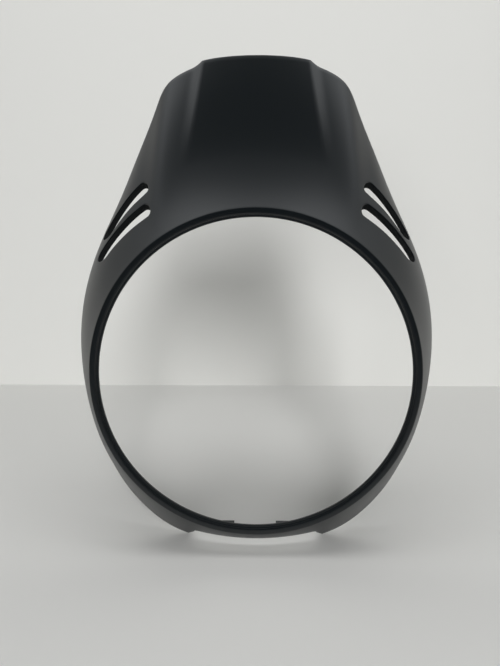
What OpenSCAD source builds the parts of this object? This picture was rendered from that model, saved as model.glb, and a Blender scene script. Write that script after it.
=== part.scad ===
// Headlight surround with a short flyscreen: one moulded shell around a round lamp opening.
// Frame: +Z up, +X to the right, the front faces -Y. The origin is the centre of the lamp
// opening, on the front plane of its inner lip. Depths below are measured from the front
// edge of the bead, and the finished moulding is moved forward by the depth of the lip.

/* [Lamp opening] */
// Clear diameter of the lamp opening
opening_d = 179; // [176:1:184]
// Depth at which the clear opening starts, behind the front edge
bore_start = 1.7; // [1:0.1:2.5]
// Length of the clear opening
bore_l = 2; // [1.5:0.5:4]
// Width of the flat lip inside the bead
lip_w = 1.4; // [0.8:0.1:2]
// Width of the rounded bead between the lip and the outer skin
bead_w = 3.3; // [2.5:0.1:4]

/* [Shell] */
// Wall thickness of the moulding
wall = 3; // [2:0.5:4]
// Sections of the mesh between two stations
per_station = 3; // [2:1:5]
// Rows of the mesh from the bead to the trim edge
rows = 16; // [10:1:24]

/* [Raised centre panel] */
// Height of the raised panel at the crown
panel_h = 3; // [1:0.5:5]
// Share of the way from the bead to the crown at which the panel starts to rise
panel_start = 0.45; // [0.3:0.05:0.6]

/* [Vents] */
// Half width of the upper vent on each side, at its inner end
upper_vent_half_w = 5.8; // [4:0.1:6.8]
// Half width of the lower vent on each side, at its inner end
lower_vent_half_w = 5.8; // [4:0.1:6.8]
// Half width at the outer end, as a share of that at the inner end
vent_taper = 0.8; // [0.5:0.01:1]
// Angle at which the vents and their collars drop towards the back
vent_drop = 18.5; // [10:0.5:20]
// Thickness of the collar wall around each vent
collar_wall = 2; // [1.5:0.5:3]
// Depth of each collar behind the middle of the wall
collar_depth = 7; // [5:0.5:12]

/* [Notch between the feet] */
// Half width of the notch at its top
notch_half_w = 38.5; // [30:0.5:42]
// Half width of the notch at the tips of the feet
notch_foot_half_w = 45.5; // [43:0.5:50]
// Height of the notch's top at the centre line
notch_top = -101.5; // [-103:0.5:-100]
// Rise of the notch's top from the centre line to its corners
notch_rise = 1.6; // [0:0.1:3]
// Radius of the notch's upper corners
notch_r = 3; // [1:0.5:5]

/* [Fixing bosses] */
// Diameter of the four bosses behind the skin
boss_d = 10; // [9:0.5:12]
// Diameter of the screw holes in the bosses
screw_hole_d = 5; // [4:0.5:6]
// Depth of the screw holes
screw_hole_l = 8; // [6:1:9]
// Sideways distance of the upper bosses from the centre line
upper_boss_x = 73; // [71:1:75]
// Height of the upper bosses
upper_boss_z = 71; // [69:1:73]
// Depth of the rear face of the upper bosses
upper_boss_back = 32; // [30:1:36]
// Sideways distance of the lower bosses from the centre line
lower_boss_x = 62; // [60:1:64]
// Height of the lower bosses
lower_boss_z = -89; // [-90:1:-88]
// Depth of the rear face of the lower bosses
lower_boss_back = 31; // [30:1:32]

/* [Locating tabs] */
// Width of the two tabs behind the lower edge of the opening
tab_w = 9; // [5:1:10]
// Distance of each tab's middle from the centre line
tab_x = 17; // [12:1:24]
// Length of the tabs behind the bore
tab_l = 4; // [2:0.5:6]

/* [Hidden] */
$fn = 96;
skin_colour = [0.10, 0.11, 0.12];

bore_r = opening_d / 2;
bead_r = bore_r + lip_w;
edge_r = bead_r + bead_w;
bore_end = bore_start + bore_l;
// Step between the skin's front edge and the start of the bead
seam = 0.3;
// Depth behind the skin in which the bosses are cut to length
boss_reach = 60;
// Height of the tips of the feet
foot_z = -112.5;

// Stations of the right half, from the crown down to the bottom. Columns:
// start angle on the bead from the top, angle of the skin there to the radial direction,
// reach of that direction, trim edge x, y, z, and the last run into the trim edge x, y, z.
stations = [
    [0, 55, 34, 0, 88, 202.1, 0, 40, 63],         // crown
    [13, 55, 34, 20, 89, 201.6, -2, 41, 63],
    [26, 55, 34, 36.5, 90, 199.6, -4, 42, 61],        // edge of the raised panel
    [30, 55, 32, 50.8, 92, 195.1, -2, 43, 58],
    [33, 55, 31, 63.8, 94, 188, 2, 43, 52],       // shoulder
    [36, 56, 30, 69.9, 96, 173.5, 3, 42, 44],
    [39, 56, 29, 75.4, 95, 159, 3, 38, 36],
    [43, 57, 27, 82.3, 92, 142, 3, 38, 26],
    [47, 58, 26, 89.6, 88, 122, 4, 38, 17],
    [53, 58, 24, 98.3, 83, 99.5, 4, 36, 8],         // vents
    [61, 58, 22, 108.5, 77, 75, 4, 33, 3],
    [70, 60, 19, 115.5, 70, 48, 3.5, 30, 0],
    [81, 62, 17, 117.5, 63, 20, 3, 27, 0],        // widest cheek
    [93, 64, 17, 115.2, 57, -8, 4, 23, 0],
    [106, 62, 16, 109.8, 51, -33.5, 5, 20, -2],
    [119, 56, 14, 101.5, 45, -56, 4, 16, -3],
    [132, 52, 13, 87.5, 37, -79, 5, 12, -5],
    [146, 48, 12, 67.5, 31, -98, 4, 10, -6],
    [160, 46, 11, 45, 30, -112.5, 3, 10, -8],     // foot
    [180, 45, 11, 0, 30, -120, 0, 10, -9],        // bottom, cut away by the notch
];
last = len(stations) - 1;
panel_edge = 2;
panel_bevel = 0.6;

// Vent arcs, seen along the dropping vents: centre across and up, radius, angle of the inner
// end, of the outer end, and half width
upper_vent = [22.8, 45.8, 87, 59.2, 31.3, upper_vent_half_w];
lower_vent = [21.4, 11.7, 97.7, 65, 39.2, lower_vent_half_w];
vent_steps = 22;
inner_cap = 0.08;
outer_cap = 0.12;

function flip(s, sum) = [sum - s[0], s[1], s[2], -s[3], s[4], s[5], -s[6], s[7], s[8]];
function station(i) =
    i < 0 ? flip(stations[-i], 0) :
    i > last ? flip(stations[2 * last - i], 360) : stations[i];

// Uniform cubic B-spline through the stations
function section(u) =
    let (i = min(floor(u), last - 1), f = u - i)
    (pow(1 - f, 3) * station(i - 1) + (3 * pow(f, 3) - 6 * f * f + 4) * station(i)
        + (-3 * pow(f, 3) + 3 * f * f + 3 * f + 1) * station(i + 1) + pow(f, 3) * station(i + 2)) / 6;

// Cubic Bezier from the bead, at t = 0, to the trim edge, at t = 1
function curve(s, t) =
    let (
        radial = [sin(s[0]), 0, cos(s[0])],
        a = edge_r * radial,
        b = a + s[2] * (cos(s[1]) * radial + [0, sin(s[1]), 0]),
        d = [s[3], s[4], s[5]],
        c = d - [s[6], s[7], s[8]]
    )
    pow(1 - t, 3) * a + 3 * pow(1 - t, 2) * t * b + 3 * (1 - t) * t * t * c + pow(t, 3) * d;

function unit(v) = v / norm(v);
step = 0.002;
function outward(u, t) =
    let (
        along = curve(section(min(u + step, last)), t) - curve(section(max(u - step, 0)), t),
        out = curve(section(u), min(t + step, 1)) - curve(section(u), max(t - step, 0))
    )
    unit(cross(along, out));

function clamp01(x) = max(0, min(1, x));
function ease(x) = let (c = clamp01(x)) c * c * (3 - 2 * c);
function raised(u, t) =
    panel_h * pow(1 - clamp01((u - panel_edge) / panel_bevel), 2)
    * ease((t - panel_start) / (1 - panel_start));

// Point of the skin, at a depth below it along the normal
function skin(u, t, depth) = curve(section(u), t) + outward(u, t) * (raised(u, t) - depth);
function mirrored(p) = [-p[0], p[1], p[2]];

// Grid of points once around the opening, as one list for each row
function around(t, depth) =
    let (n = last * per_station, half = [for (j = [0:n]) skin(j / per_station, t, depth)])
    concat(half, [for (j = [n - 1:-1:1]) mirrored(half[j])]);

// Two triangles of a quad whose corners run once around it
function quad(a, b, c, d) = [[a, c, b], [a, d, c]];

// Closed wall: the outer rows run out to the trim edge, and the inner rows run back
module skin_shell() {
    n = 2 * last * per_station;
    rings = concat(
        [for (k = [0:rows]) around(k / rows, 0)],
        [for (k = [rows:-1:0]) around(k / rows, wall)]
    );
    count = len(rings);
    faces = [
        for (k = [0:count - 1], j = [0:n - 1])
            let (next_k = (k + 1) % count, next_j = (j + 1) % n)
            each quad(k * n + j, k * n + next_j, next_k * n + next_j, next_k * n + j)
    ];
    polyhedron([for (ring = rings) each ring], faces, convexity = 10);
}

// Solid behind the right half of the skin, in which the collars and bosses are cut to length
module behind_skin(depth) {
    u_from = 4;
    u_to = 18;
    t_from = 0.06;
    nu = 2 * (u_to - u_from);
    nt = 10;
    sheet = [
        for (k = [0:nt], j = [0:nu])
            skin(u_from + (u_to - u_from) * j / nu, t_from + (1 - t_from) * k / nt, wall / 2)
    ];
    w = nu + 1;
    back = len(sheet);
    faces = concat(
        [for (k = [0:nt - 1], j = [0:nu - 1]) let (a = k * w + j)
            each quad(a, a + 1, a + 1 + w, a + w)],
        [for (k = [0:nt - 1], j = [0:nu - 1]) let (a = back + k * w + j)
            each quad(a, a + w, a + 1 + w, a + 1)],
        [for (j = [0:nu - 1]) each quad(j, back + j, back + j + 1, j + 1)],
        [for (j = [0:nu - 1]) let (a = nt * w + j) each quad(a, a + 1, back + a + 1, back + a)],
        [for (k = [0:nt - 1]) let (a = k * w) each quad(a, a + w, back + a + w, back + a)],
        [for (k = [0:nt - 1]) let (a = k * w + nu) each quad(a, back + a, back + a + w, a + w)]
    );
    polyhedron(concat(sheet, [for (p = sheet) p + [0, depth, 0]]), faces, convexity = 10);
}

// Crescent outline of a vent, grown outward by a margin
function cap(x) = sqrt(1 - pow(1 - clamp01(x), 2));
function vent_half(half_w, s, grow) =
    (half_w * (1 - (1 - vent_taper) * s) + grow) * cap(s / inner_cap) * cap((1 - s) / outer_cap);
function vent_edge(v, side, grow) = [
    for (i = [0:vent_steps])
        let (
            s = (1 - cos(180 * i / vent_steps)) / 2,
            spread = grow / v[2] * 180 / PI,
            a = v[3] + spread + (v[4] - v[3] - 2 * spread) * s,
            r = v[2] + side * vent_half(v[5], s, grow)
        )
        [v[0] + r * cos(a), v[1] + r * sin(a)]
];
module vent_outline(v, grow) {
    inner = vent_edge(v, -1, grow);
    polygon(concat(vent_edge(v, 1, grow), [for (i = [vent_steps - 1:-1:1]) inner[i]]));
}

// Stands an outline in X and Z and runs it from one depth to another
module from_front(y_from, y_to)
    translate([0, y_to, 0]) rotate([90, 0, 0]) linear_extrude(y_to - y_from) children();

module both_sides() {
    children();
    mirror([1, 0, 0]) children();
}

// The two vents of the right half, grown by a margin, as bars that drop towards the back
module vent_bars(grow, y_from, y_to)
    rotate([-vent_drop, 0, 0]) {
        from_front(y_from, y_to) vent_outline(upper_vent, grow);
        from_front(y_from, y_to) vent_outline(lower_vent, grow);
    }

// Walls behind the skin around the vents
module collars()
    intersection() {
        vent_bars(collar_wall, -20, 60);
        behind_skin(collar_depth);
    }

module vent_cuts() vent_bars(0, -25, 65);

module rod(x, z, d, y_from, y_to)
    translate([x, y_to, z]) rotate([90, 0, 0]) cylinder(d = d, h = y_to - y_from);

// Screw bosses that run straight back from the inside of the skin
module bosses()
    intersection() {
        union() {
            rod(upper_boss_x, upper_boss_z, boss_d, 5, upper_boss_back);
            rod(lower_boss_x, lower_boss_z, boss_d, 5, lower_boss_back);
        }
        behind_skin(boss_reach);
    }

module screw_holes() {
    rod(upper_boss_x, upper_boss_z, screw_hole_d, upper_boss_back - screw_hole_l, upper_boss_back + 1);
    rod(lower_boss_x, lower_boss_z, screw_hole_d, lower_boss_back - screw_hole_l, lower_boss_back + 1);
}

// Rounded bead, inner lip and the short bore that the lamp rim passes through
module bead_ring() {
    steps = 12;
    round_over = [
        for (i = [0:steps])
            let (a = 90 * i / steps)
            [bead_r + (edge_r - seam - bead_r) * (1 - sin(a)), bore_start * (1 - cos(a))]
    ];
    rotate([-90, 0, 0]) rotate_extrude() polygon(concat(
        round_over,
        [[bore_r, bore_start], [bore_r, bore_end], [edge_r + 0.3, bore_end]]
    ));
}

// Two small tabs behind the lower edge of the opening, which locate the lamp rim
module locating_tabs()
    for (side = [-1, 1])
        translate([side * tab_x - tab_w / 2, bore_end - 1, -bore_r - 3])
            cube([tab_w, tab_l + 1, 3]);

// Cut-out along the bottom, which leaves a foot on each side
module notch() {
    steps = 8;
    flat = notch_half_w - notch_r;
    arch = [
        for (i = [-steps:steps])
            let (x = flat * i / steps)
            [x, notch_top + notch_rise * pow(x / notch_half_w, 2)]
    ];
    side_z = arch[0][1] - notch_r;
    corner = [for (i = [1:5]) let (a = 90 * i / 5) [flat + notch_r * sin(a), side_z + notch_r * cos(a)]];
    from_front(-5, 60) polygon(concat(
        arch, corner,
        [[notch_foot_half_w, foot_z], [notch_foot_half_w, -140], [-notch_foot_half_w, -140],
            [-notch_foot_half_w, foot_z]],
        [for (i = [4:-1:0]) [-corner[i][0], corner[i][1]]]
    ));
}

module headlight_surround()
    color(skin_colour)
    translate([0, -bore_start, 0])
    difference() {
        union() {
            skin_shell();
            bead_ring();
            locating_tabs();
            both_sides() {
                collars();
                bosses();
            }
        }
        both_sides() {
            vent_cuts();
            screw_holes();
        }
        notch();
    }

headlight_surround();
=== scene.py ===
# Headlight surround: one moulded satin black shell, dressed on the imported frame.
# The shape is in millimetres until it reaches a mesh, which is in metres. Its depths are
# measured from the front edge of the bead, and a mesh is moved forward by the lip's depth.
import math

import bmesh
import bpy
import numpy as np
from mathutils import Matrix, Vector


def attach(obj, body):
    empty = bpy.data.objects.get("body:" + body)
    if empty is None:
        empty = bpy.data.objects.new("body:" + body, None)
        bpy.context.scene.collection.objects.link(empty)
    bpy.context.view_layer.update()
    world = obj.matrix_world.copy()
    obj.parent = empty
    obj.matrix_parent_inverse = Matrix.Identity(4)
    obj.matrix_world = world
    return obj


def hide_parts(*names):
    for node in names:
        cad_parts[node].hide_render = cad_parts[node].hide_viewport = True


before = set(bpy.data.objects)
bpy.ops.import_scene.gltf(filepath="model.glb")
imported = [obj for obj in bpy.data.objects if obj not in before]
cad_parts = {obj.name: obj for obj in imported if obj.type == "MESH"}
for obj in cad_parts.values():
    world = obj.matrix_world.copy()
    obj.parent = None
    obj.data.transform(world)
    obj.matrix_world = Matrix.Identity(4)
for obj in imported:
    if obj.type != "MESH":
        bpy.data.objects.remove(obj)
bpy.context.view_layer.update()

MM = 0.001

# Driving dimensions, as in the part's source
WALL = 3.0
BORE_R = 89.5
BORE_START = 1.7
BORE_END = 3.7
BEAD_R = BORE_R + 1.4
EDGE_R = BEAD_R + 3.3
PANEL_H = 3.0
PANEL_START = 0.45
PANEL_EDGE = 2
PANEL_BEVEL = 0.6
VENT_TAPER = 0.8
VENT_DROP = math.radians(18.5)
COLLAR_WALL = 2.0
COLLAR_DEPTH = 7.0
NOTCH_HALF_W, NOTCH_FOOT_HALF_W = 38.5, 45.5
NOTCH_TOP, NOTCH_RISE, NOTCH_R, NOTCH_FOOT_Z = -101.5, 1.6, 3.0, -112.5
BOSS_R, HOLE_R, HOLE_DEPTH = 5.0, 2.5, 8.0
TAB_X, TAB_W, TAB_H, TAB_L = 17.0, 9.0, 3.0, 4.0

# Roundings that the scene adds
EDGE_ROUND = 0.7
LIP_ROUND = 0.5
BACK_ROUND = 0.5
TRIM_REACH = 0.42 * WALL
FILLET_DEPTH = 1.2

# Stations of the right half, from the crown down to the bottom: start angle on the bead,
# angle of the skin there, reach, trim edge x, y, z, and the last run into the trim edge.
STATIONS = np.array([
    [0, 55, 34, 0, 88, 202.1, 0, 40, 63],
    [13, 55, 34, 20, 89, 201.6, -2, 41, 63],
    [26, 55, 34, 36.5, 90, 199.6, -4, 42, 61],
    [30, 55, 32, 50.8, 92, 195.1, -2, 43, 58],
    [33, 55, 31, 63.8, 94, 188, 2, 43, 52],
    [36, 56, 30, 69.9, 96, 173.5, 3, 42, 44],
    [39, 56, 29, 75.4, 95, 159, 3, 38, 36],
    [43, 57, 27, 82.3, 92, 142, 3, 38, 26],
    [47, 58, 26, 89.6, 88, 122, 4, 38, 17],
    [53, 58, 24, 98.3, 83, 99.5, 4, 36, 8],
    [61, 58, 22, 108.5, 77, 75, 4, 33, 3],
    [70, 60, 19, 115.5, 70, 48, 3.5, 30, 0],
    [81, 62, 17, 117.5, 63, 20, 3, 27, 0],
    [93, 64, 17, 115.2, 57, -8, 4, 23, 0],
    [106, 62, 16, 109.8, 51, -33.5, 5, 20, -2],
    [119, 56, 14, 101.5, 45, -56, 4, 16, -3],
    [132, 52, 13, 87.5, 37, -79, 5, 12, -5],
    [146, 48, 12, 67.5, 31, -98, 4, 10, -6],
    [160, 46, 11, 45, 30, -112.5, 3, 10, -8],
    [180, 45, 11, 0, 30, -120, 0, 10, -9],
], float)
LAST = len(STATIONS) - 1

# Vent arcs, seen along the dropping vents: centre across and up, radius, angle of the inner
# end, of the outer end, and half width
VENTS = ((22.8, 45.8, 87, 59.2, 31.3, 5.8), (21.4, 11.7, 97.7, 65, 39.2, 5.8))

# Bosses on each side: across, up, and the depth of the rear face
BOSSES = ((73, 71, 32), (62, -89, 31))


# ---- The skin ----

def station_rows():
    """The stations with one mirrored row before the crown and two past the bottom."""
    flip = np.array([-1, 1, 1, -1, 1, 1, -1, 1, 1])
    turn = np.array([360, 0, 0, 0, 0, 0, 0, 0, 0])
    after = [STATIONS[LAST - k] * flip + turn for k in (1, 2)]
    return np.vstack([STATIONS[1] * flip, STATIONS, after])


ROWS = station_rows()


def sections(u):
    """Uniform cubic B-spline through the stations, for an array of positions."""
    u = np.asarray(u, float)
    i = np.minimum(np.floor(u), LAST - 1).astype(int)
    f = (u - i)[..., None]
    w = ((1 - f) ** 3, 3 * f**3 - 6 * f**2 + 4, -3 * f**3 + 3 * f**2 + 3 * f + 1, f**3)
    return sum(w[k] * ROWS[i + k] for k in range(4)) / 6


def curve(u, t):
    """Cubic Bezier from the bead, at t = 0, to the trim edge, at t = 1."""
    s = sections(u)
    t = np.asarray(t, float)[..., None]
    a, b = np.radians(s[..., 0]), np.radians(s[..., 1])
    zero = np.zeros_like(a)
    radial = np.stack([np.sin(a), zero, np.cos(a)], -1)
    back = np.stack([zero, np.sin(b), zero], -1)
    p0 = EDGE_R * radial
    p1 = p0 + s[..., 2:3] * (np.cos(b)[..., None] * radial + back)
    p3 = s[..., 3:6]
    p2 = p3 - s[..., 6:9]
    return (1 - t) ** 3 * p0 + 3 * (1 - t) ** 2 * t * p1 + 3 * (1 - t) * t**2 * p2 + t**3 * p3


def outward(u, t):
    """Unit normal of the skin without its panel."""
    step = 0.002
    along = curve(np.minimum(u + step, LAST), t) - curve(np.maximum(u - step, 0), t)
    out = curve(u, np.minimum(t + step, 1)) - curve(u, np.maximum(t - step, 0))
    n = np.cross(along, out)
    return n / np.linalg.norm(n, axis=-1, keepdims=True)


def ease(x):
    c = np.clip(x, 0, 1)
    return c * c * (3 - 2 * c)


def raised(u, t):
    """Height of the centre panel, which ends in a bevel at each side."""
    side = (1 - np.clip((u - PANEL_EDGE) / PANEL_BEVEL, 0, 1)) ** 2
    return PANEL_H * side * ease((t - PANEL_START) / (1 - PANEL_START))


def skin(u, t, depth=0.0):
    """Point of the skin, at a depth below it along the normal."""
    u, t = np.broadcast_arrays(np.asarray(u, float), np.asarray(t, float))
    return curve(u, t) + outward(u, t) * (raised(u, t) - depth)[..., None]


def depth_reached(u, depth):
    """Position of each column at which the inside of the skin reaches a depth."""
    low, high = np.zeros_like(u), np.full_like(u, 0.6)
    for _ in range(30):
        middle = (low + high) / 2
        near = skin(u, middle, WALL)[..., 1] < depth
        low, high = np.where(near, middle, low), np.where(near, high, middle)
    return low


def on_skin(x, w, tilt=0.0, depth=0.0, shift=0.0):
    """Points of the skin, or of a face at a depth under it pushed back by a shift, that are
    at x and at a height w measured across a direction that drops by a tilt."""
    rise = np.array([0, math.sin(tilt), math.cos(tilt)])

    def surface(u, t):
        return skin(u, t, depth) + [0, shift, 0]

    # The nearest point of a coarse grid, then Newton steps with a limit on each
    grid_u, grid_t = np.meshgrid(np.linspace(3.5, 18, 150), np.linspace(0.06, 1, 70),
                                 indexing="ij")
    grid = surface(grid_u.ravel(), grid_t.ravel())
    gap = (grid[None, :, 0] - x[:, None]) ** 2 + ((grid @ rise)[None] - w[:, None]) ** 2
    nearest = gap.argmin(1)
    u, t = grid_u.ravel()[nearest], grid_t.ravel()[nearest]
    h = 1e-3
    for _ in range(6):
        p = surface(u, t)
        du, dt = (surface(u + h, t) - p) / h, (surface(u, t + h) - p) / h
        ex, ew = x - p[:, 0], w - p @ rise
        det = du[:, 0] * (dt @ rise) - (du @ rise) * dt[:, 0]
        move_u = np.clip((ex * (dt @ rise) - ew * dt[:, 0]) / det, -0.3, 0.3)
        move_t = np.clip((du[:, 0] * ew - (du @ rise) * ex) / det, -0.1, 0.1)
        u, t = np.clip(u + move_u, 3, 18.5), np.clip(t + move_t, 0.02, 1.1)
    return surface(u, t)


# ---- Solids ----

def solid(name, points, faces):
    """A closed mesh in the scene, with its faces turned outwards."""
    mesh = bpy.data.meshes.new(name)
    points = (np.asarray(points) - [0, BORE_START, 0]) * MM
    mesh.from_pydata(points.tolist(), [], faces)
    mesh.validate()
    obj = bpy.data.objects.new(name, mesh)
    bpy.context.scene.collection.objects.link(obj)
    bm = bmesh.new()
    bm.from_mesh(mesh)
    bmesh.ops.recalc_face_normals(bm, faces=bm.faces)
    bm.to_mesh(mesh)
    bm.free()
    return obj


def ring_faces(n, pairs):
    """Quads between pairs of rings of n points each."""
    return [(a * n + j, a * n + (j + 1) % n, b * n + (j + 1) % n, b * n + j)
            for a, b in pairs for j in range(n)]


def ring_profile():
    """Radius and depth along the bore, the lip and the flat-topped bead."""
    def rounding(depth, start, end, n):
        centre = BORE_R + LIP_ROUND
        return [(centre + LIP_ROUND * math.sin(v), depth - LIP_ROUND * math.cos(v))
                for v in np.radians(np.linspace(start, end, n))]

    profile = rounding(BORE_END - LIP_ROUND, 180, 270, 4)
    profile += rounding(BORE_START + LIP_ROUND, -90, 0, 5)
    profile += [(BEAD_R - 0.35, BORE_START - 0.02)]
    # The bead is a superellipse, from its foot on the lip to the front edge
    crest_r = EDGE_R - EDGE_ROUND
    width = crest_r - BEAD_R
    for v in np.radians(np.linspace(88, 0, 20)):
        profile.append((crest_r - width * math.sin(v) ** 0.5,
                        BORE_START * (1 - math.cos(v) ** 0.5)))
    return profile


def moulding():
    """The whole wall as one closed grid: lip, bead, skin, rounded trim edge, and back inside."""
    per_station, outer_rows, inner_rows, rim = 8, 60, 32, 6
    u = np.arange(LAST * per_station + 1) / per_station
    phi = np.radians(sections(u)[:, 0])

    def ring(r, y):
        return np.stack([r * np.sin(phi), np.full_like(phi, y), r * np.cos(phi)], -1)

    # Fillet behind the ring, inside the skin
    t_stop = depth_reached(u, BORE_END + FILLET_DEPTH)
    stop = skin(u, t_stop, WALL)
    inner_r = np.hypot(stop[:, 0], stop[:, 2])
    halves = [ring(inner_r - inset, BORE_END + back) for inset, back in ((0.7, 0.35), (2, 0.05))]
    halves += [ring(r, y) for r, y in ring_profile()]
    # Small rounding between the bead and the skin
    t_in = EDGE_ROUND / (3 * sections(u)[:, 2])
    start, end = ring(EDGE_R - EDGE_ROUND, 0), skin(u, t_in)
    for f in (0.25, 0.5, 0.75):
        halves.append((1 - f) ** 2 * start + 2 * f * (1 - f) * ring(EDGE_R, 0) + f * f * end)
    # The skin, then the rounded trim edge, which ends where the curve ends
    t_edge = 1 - TRIM_REACH / (3 * np.linalg.norm(sections(u)[:, 6:9], axis=1))
    halves += [skin(u, t_in + (t_edge - t_in) * f) for f in np.linspace(0, 1, outer_rows)]
    outer, inner = skin(u, t_edge), skin(u, t_edge, WALL)
    out_dir = skin(u, np.ones_like(u)) - skin(u, np.full_like(u, 0.98))
    out_dir /= np.linalg.norm(out_dir, axis=-1, keepdims=True)
    middle, half_wall = (outer + inner) / 2, (outer - inner) / 2
    for k in range(1, rim):
        a = math.pi * k / rim
        halves.append(middle + half_wall * math.cos(a) + out_dir * math.sin(a) * TRIM_REACH)
    halves += [skin(u, t_stop + (t_edge - t_stop) * f, WALL)
               for f in np.linspace(1, 0, inner_rows)]
    rings = [np.vstack([half, half[-2:0:-1] * [-1, 1, 1]]) for half in halves]
    pairs = [(k, (k + 1) % len(rings)) for k in range(len(rings))]
    return solid("moulding", np.vstack(rings), ring_faces(len(rings[0]), pairs))


def vent_outline(vent, grow):
    """Crescent outline of a vent, grown by a margin: one edge out and the other back."""
    cx, cz, radius, inner_end, outer_end, half_w = vent
    steps, inner_cap, outer_cap = 40, 0.08, 0.12
    s = (1 - np.cos(np.linspace(0, math.pi, steps + 1))) / 2
    spread = math.degrees(grow / radius)
    a = np.radians(inner_end + spread + (outer_end - inner_end - 2 * spread) * s)

    def cap(x):
        return np.sqrt(1 - (1 - np.clip(x, 0, 1)) ** 2)

    half = half_w * (1 - (1 - VENT_TAPER) * s) + grow
    half = half * cap(s / inner_cap) * cap((1 - s) / outer_cap)
    out = [(cx + (radius + side * half) * np.cos(a), cz + (radius + side * half) * np.sin(a))
           for side in (1, -1)]
    x = np.concatenate([out[0][0], out[1][0][-2:0:-1]])
    z = np.concatenate([out[0][1], out[1][1][-2:0:-1]])
    return x, z


def vent_solid(name, vent, layers, side):
    """A solid that follows the skin: each layer has a margin, a depth under it and a shift."""
    rings = []
    for grow, depth, shift in layers:
        x, w = vent_outline(vent, grow)
        rings.append(on_skin(x, w, VENT_DROP, depth, shift) * [side, 1, 1])
    n = len(rings[0])
    faces = ring_faces(n, [(k, k + 1) for k in range(len(rings) - 1)])
    # The two ends are strips across the crescent, from one edge to the other
    for base, turn in ((0, -1), ((len(rings) - 1) * n, 1)):
        for j in range(n // 2):
            a, b = base + j, base + j + 1
            c, d = base + (n - j - 1) % n, base + (n - j) % n
            quad = [a, b, c, d] if b != c else [a, b, d]
            if a == d:
                quad = [a, b, c]
            faces.append(tuple(quad[::turn]))
    return solid(name, np.vstack(rings), faces)


def extruded(name, outline, y_from, y_to):
    """A prism along the depth."""
    n = len(outline)
    points = [(x, y, z) for y in (y_from, y_to) for x, z in outline]
    faces = ring_faces(n, [(0, 1)])
    faces += [tuple(range(n)), tuple(range(2 * n - 1, n - 1, -1))]
    return solid(name, points, faces)


def disc(x, z, r, n=48):
    angles = np.linspace(0, 2 * math.pi, n, endpoint=False)
    return [(x + r * math.cos(a), z + r * math.sin(a)) for a in angles]


def notch_outline():
    """The notch between the feet: a shallow arch, rounded corners and flared sides."""
    flat, below = NOTCH_HALF_W - NOTCH_R, -140
    arch = [(x, NOTCH_TOP + NOTCH_RISE * (x / NOTCH_HALF_W) ** 2)
            for x in np.linspace(-flat, flat, 25)]
    side_z = arch[0][1] - NOTCH_R
    corner = [(flat + NOTCH_R * math.sin(a), side_z + NOTCH_R * math.cos(a))
              for a in np.radians(np.linspace(11.25, 90, 8))]
    right = corner + [(NOTCH_FOOT_HALF_W, NOTCH_FOOT_Z), (NOTCH_FOOT_HALF_W, below)]
    return arch + right + [(-x, z) for x, z in right[::-1]]


def boss(x, z, y_back):
    """Round boss from the middle of the wall to its rear face."""
    outline = np.array(disc(x, z, BOSS_R))
    front = on_skin(np.abs(outline[:, 0]), outline[:, 1], depth=WALL / 2)[:, 1]
    n = len(outline)
    points = [(p[0], f, p[1]) for p, f in zip(outline, front)]
    points += [(p[0], y_back - BACK_ROUND, p[1]) for p in outline]
    points += [(p[0], y_back, p[1]) for p in disc(x, z, BOSS_R - BACK_ROUND)]
    faces = ring_faces(n, [(0, 1), (1, 2)])
    faces += [tuple(range(3 * n - 1, 2 * n - 1, -1))]
    middle = len(points)
    points.append((x, on_skin(np.array([abs(x)]), np.array([z]), depth=WALL / 2)[0, 1], z))
    faces += [(middle, (j + 1) % n, j) for j in range(n)]
    return solid("boss", points, faces)


def vent_collar(vent, side):
    return vent_solid("collar", vent, [
        (COLLAR_WALL, WALL / 2, 0),
        (COLLAR_WALL, WALL / 2, COLLAR_DEPTH - BACK_ROUND),
        (COLLAR_WALL - BACK_ROUND, WALL / 2, COLLAR_DEPTH)], side)


def vent_cutter(vent, side):
    """Cuts a vent through the collar and the skin, and rounds its mouth."""
    above, clear, far = -3, 4, 20
    mouth = [(EDGE_ROUND * (1 - math.cos(a)), EDGE_ROUND * (1 - math.sin(a)), 0)
             for a in np.radians([22.5, 45, 67.5, 90])]
    return vent_solid("vent", vent, [
        (0, WALL / 2, COLLAR_DEPTH + far), (0, WALL / 2, COLLAR_DEPTH + clear),
        (0, EDGE_ROUND, 0), *mouth, (EDGE_ROUND, above, 0)], side)


def tab(side):
    x0, x1 = side * TAB_X - TAB_W / 2, side * TAB_X + TAB_W / 2
    z0, z1 = -BORE_R - TAB_H, -BORE_R
    outline = [(x0, z0), (x1, z0), (x1, z1), (x0, z1)]
    return extruded("tab", outline, BORE_END - 1, BORE_END + TAB_L)


def combine(shell, tools, operation):
    """One boolean with every tool in it, then the tools are deleted."""
    group = bpy.data.collections.new("tools")
    for tool in tools:
        bpy.context.scene.collection.objects.unlink(tool)
        group.objects.link(tool)
    bpy.context.scene.collection.children.link(group)
    step = shell.modifiers.new("combine", "BOOLEAN")
    step.operation = operation
    step.operand_type = "COLLECTION"
    step.collection = group
    step.solver = "EXACT"
    bpy.context.view_layer.objects.active = shell
    bpy.ops.object.modifier_apply(modifier=step.name)
    for tool in tools:
        bpy.data.objects.remove(tool)
    bpy.data.collections.remove(group)


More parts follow.
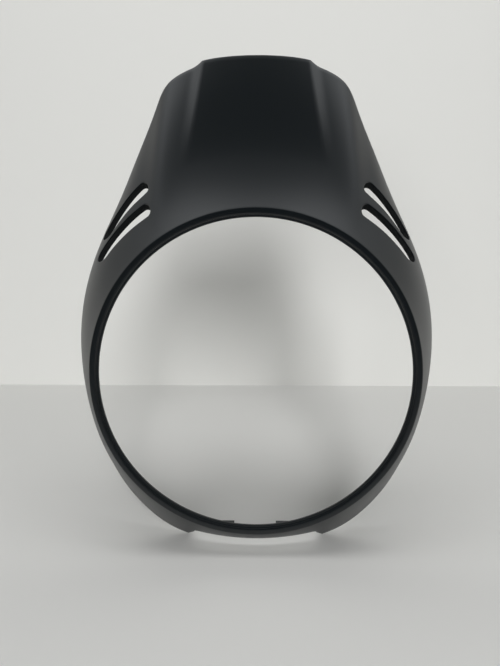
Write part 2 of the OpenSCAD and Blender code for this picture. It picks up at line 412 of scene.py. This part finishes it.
def mark_rough_and_shaded(shell):
    """Marks the faces of the vents' walls and collars, which run across the skin. They get a
    rougher finish and painted shade: a lowered specular level darkens them.
    """
    # The zone around the vents, in metres, and clear of the ring
    x_min, x_max, z_min, z_max, ring_r = 0.055, 0.1, 0.06, 0.125, 0.098
    # The way out of the skin there, and how far along it such a face points: the skin's
    # outside is near 1 and its inside near -1
    out_x, out_y, out_z, most_in, most_out = 0.58, 0.6, 0.55, -0.88, 0.6
    values = []
    for face in shell.data.polygons:
        x, _, z = face.center
        near = x_min < abs(x) < x_max and z_min < z < z_max and math.hypot(x, z) > ring_r
        nx, ny, nz = face.normal
        out = math.copysign(out_x, x) * nx - out_y * ny + out_z * nz
        values.append(float(near and most_in < out < most_out))
    mark = shell.data.attributes.new("rough_and_shaded", "FLOAT", "FACE")
    mark.data.foreach_set("value", values)


def surround():
    """The moulding with its collars, bosses and tabs added, and its openings cut."""
    shell = moulding()
    added, cut = [], [extruded("notch", notch_outline(), -5, 60)]
    for side in (-1, 1):
        for vent in VENTS:
            added.append(vent_collar(vent, side))
            cut.append(vent_cutter(vent, side))
        for x, z, y_back in BOSSES:
            added.append(boss(side * x, z, y_back))
            cut.append(extruded("hole", disc(side * x, z, HOLE_R), y_back - HOLE_DEPTH, y_back + 1))
        added.append(tab(side))
    combine(shell, added, "UNION")
    combine(shell, cut, "DIFFERENCE")
    shell.data.polygons.foreach_set("use_smooth", [True] * len(shell.data.polygons))
    shell.data.set_sharp_from_angle(angle=math.radians(35))
    # Marks the vent walls and collars for a rougher finish and for painted shade
    mark_rough_and_shaded(shell)
    return shell


# ---- Materials, stage, light and camera ----

def ramp(source, start, end, low, high):
    """A value eased from low to high while the source goes from start to end."""
    tree = source.id_data
    node = tree.nodes.new("ShaderNodeMapRange")
    node.interpolation_type = "SMOOTHSTEP"
    limits = (("From Min", start), ("From Max", end), ("To Min", low), ("To Max", high))
    for name, value in limits:
        if isinstance(value, float):
            node.inputs[name].default_value = value
        else:
            tree.links.new(value, node.inputs[name])
    tree.links.new(source, node.inputs["Value"])
    return node.outputs["Result"]


def plastic():
    """Satin black moulded plastic with a fine grain. The marked vent walls and collars are rougher
    and carry painted shade, a lowered specular level that darkens them.
    """
    mat = bpy.data.materials.new("satin_black_plastic")
    mat.use_nodes = True
    tree = mat.node_tree
    shader = tree.nodes["Principled BSDF"]
    shader.inputs["Base Color"].default_value = (0.0044, 0.0060, 0.0071, 1)
    shader.inputs["IOR"].default_value = 1.5
    rough_and_shaded = tree.nodes.new("ShaderNodeAttribute")
    rough_and_shaded.attribute_name = "rough_and_shaded"
    # Rougher finish on the marked faces, and painted shade: their specular level is lowered so the
    # vents look darker
    for name, smooth, matte_and_shaded in (("Roughness", 0.37, 0.8), ("Specular IOR Level", 0.5, 0.15)):
        tree.links.new(ramp(rough_and_shaded.outputs["Fac"], 0.0, 1.0, smooth, matte_and_shaded), shader.inputs[name])
    where = tree.nodes.new("ShaderNodeTexCoord")
    grain = tree.nodes.new("ShaderNodeTexNoise")
    grain.inputs["Scale"].default_value = 1800
    bump = tree.nodes.new("ShaderNodeBump")
    bump.inputs["Strength"].default_value = 0.08
    bump.inputs["Distance"].default_value = 0.0002
    tree.links.new(where.outputs["Object"], grain.inputs["Vector"])
    tree.links.new(grain.outputs["Fac"], bump.inputs["Height"])
    tree.links.new(bump.outputs["Normal"], shader.inputs["Normal"])
    return mat


def plain(name, colour):
    mat = bpy.data.materials.new(name)
    mat.use_nodes = True
    shader = mat.node_tree.nodes["Principled BSDF"]
    shader.inputs["Base Color"].default_value = (*colour, 1)
    shader.inputs["Roughness"].default_value = 0.6
    return mat


def dimmer_above(mat, start, end, share):
    """Reflections see a stage colour that falls to a share of itself over a run of heights."""
    tree = mat.node_tree
    colour = tree.nodes["Principled BSDF"].inputs["Base Color"]
    place = tree.nodes.new("ShaderNodeNewGeometry")
    axes = tree.nodes.new("ShaderNodeSeparateXYZ")
    tree.links.new(place.outputs["Position"], axes.inputs["Vector"])
    path = tree.nodes.new("ShaderNodeLightPath")
    fall = ramp(axes.outputs["Z"], start, end, 1.0, share)
    seen = ramp(path.outputs["Is Glossy Ray"], 0.0, 1.0, 1.0, fall)
    scale = tree.nodes.new("ShaderNodeVectorMath")
    scale.operation = "SCALE"
    scale.inputs[0].default_value = colour.default_value[:3]
    tree.links.new(seen, scale.inputs["Scale"])
    tree.links.new(scale.outputs["Vector"], colour)
    return mat


def sheet(name, corners, mat):
    mesh = bpy.data.meshes.new(name)
    mesh.from_pydata(corners, [], [(0, 1, 2, 3)])
    obj = bpy.data.objects.new(name, mesh)
    bpy.context.scene.collection.objects.link(obj)
    obj.data.materials.append(mat)


def stage(floor_z):
    """A pale floor and a pale wall behind the part, in metres."""
    half_w, front, back, top = 2.5, -0.3, 0.4295, 0.5
    sheet("floor", [(-half_w, front, floor_z), (half_w, front, floor_z),
                    (half_w, back, floor_z), (-half_w, back, floor_z)],
          plain("floor", (0.77, 0.77, 0.75)))
    sheet("wall", [(-half_w, back, floor_z), (half_w, back, floor_z),
                   (half_w, back, top), (-half_w, back, top)],
          dimmer_above(plain("wall", (0.765, 0.765, 0.74)), 0.05, 0.4, 0.55))


def area(name, place, aim, size, power):
    """A rectangular lamp that reflections don't show."""
    light = bpy.data.lights.new(name, "AREA")
    light.shape = "RECTANGLE"
    light.size, light.size_y = size
    light.energy = power
    obj = bpy.data.objects.new(name, light)
    bpy.context.scene.collection.objects.link(obj)
    obj.location = place
    obj.rotation_euler = (Vector(aim) - Vector(place)).to_track_quat("-Z", "Y").to_euler()
    obj.visible_glossy = False


def room():
    """The room as the plastic mirrors it: dark in front and overhead, pale at the sides and
    behind. As a light it is even and weak, and where the camera sees it, it is pale."""
    world = bpy.data.worlds.new("room")
    bpy.context.scene.world = world
    world.use_nodes = True
    tree = world.node_tree
    background = tree.nodes["Background"]
    background.inputs["Color"].default_value = (0.95, 0.98, 1.0, 1)
    where = tree.nodes.new("ShaderNodeTexCoord")
    axes = tree.nodes.new("ShaderNodeSeparateXYZ")
    tree.links.new(where.outputs["Generated"], axes.inputs["Vector"])
    lowness = tree.nodes.new("ShaderNodeMath")
    lowness.operation = "MULTIPLY"
    lowness.inputs[1].default_value = -1
    tree.links.new(axes.outputs["Z"], lowness.inputs[0])
    high_up = ramp(axes.outputs["Z"], 0.6, 0.8, 0.5, 1.15)
    overhead = ramp(lowness.outputs["Value"], -0.98, -0.86, 0.3, high_up)
    mirrored = ramp(axes.outputs["Y"], -0.02, 0.24, 0.02, overhead)
    path = tree.nodes.new("ShaderNodeLightPath")
    lighting = ramp(path.outputs["Is Glossy Ray"], 0.0, 1.0, 0.08, mirrored)
    strength = ramp(path.outputs["Is Camera Ray"], 0.0, 1.0, lighting, 0.66)
    tree.links.new(strength, background.inputs["Strength"])


def view():
    """The camera, fitted to the opening and the bead in the photo."""
    photo_h, focal, down, left = 666, 520, 8.03, 0.885
    camera = bpy.data.cameras.new("camera")
    camera.sensor_fit = "VERTICAL"
    camera.sensor_height = 24
    camera.lens = camera.sensor_height * focal / photo_h
    camera.clip_start = 0.01
    eye = bpy.data.objects.new("camera", camera)
    bpy.context.scene.collection.objects.link(eye)
    eye.location = (0.0015, -0.28902, 0.06644)
    eye.rotation_euler = (math.radians(90 - down), 0, math.radians(left))
    bpy.context.scene.camera = eye


piece = surround()
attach(piece, "root")
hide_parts("headlight_surround")
piece.data.materials.clear()
piece.data.materials.append(plastic())

stage(min(v.co.z for v in piece.data.vertices))
area("key", (0.25, -1.75, 0.68), (0, 0.2, 0.1), (0.45, 0.7), 24)
area("fill", (-0.5, -1.7, 0.2), (0, 0.2, 0.1), (0.6, 0.5), 7)
area("ceiling", (0, -0.25, 1.5), (0, 0.1, 0), (1.8, 0.6), 8.5)
room()
view()
bpy.context.scene.view_settings.view_transform = "Standard"
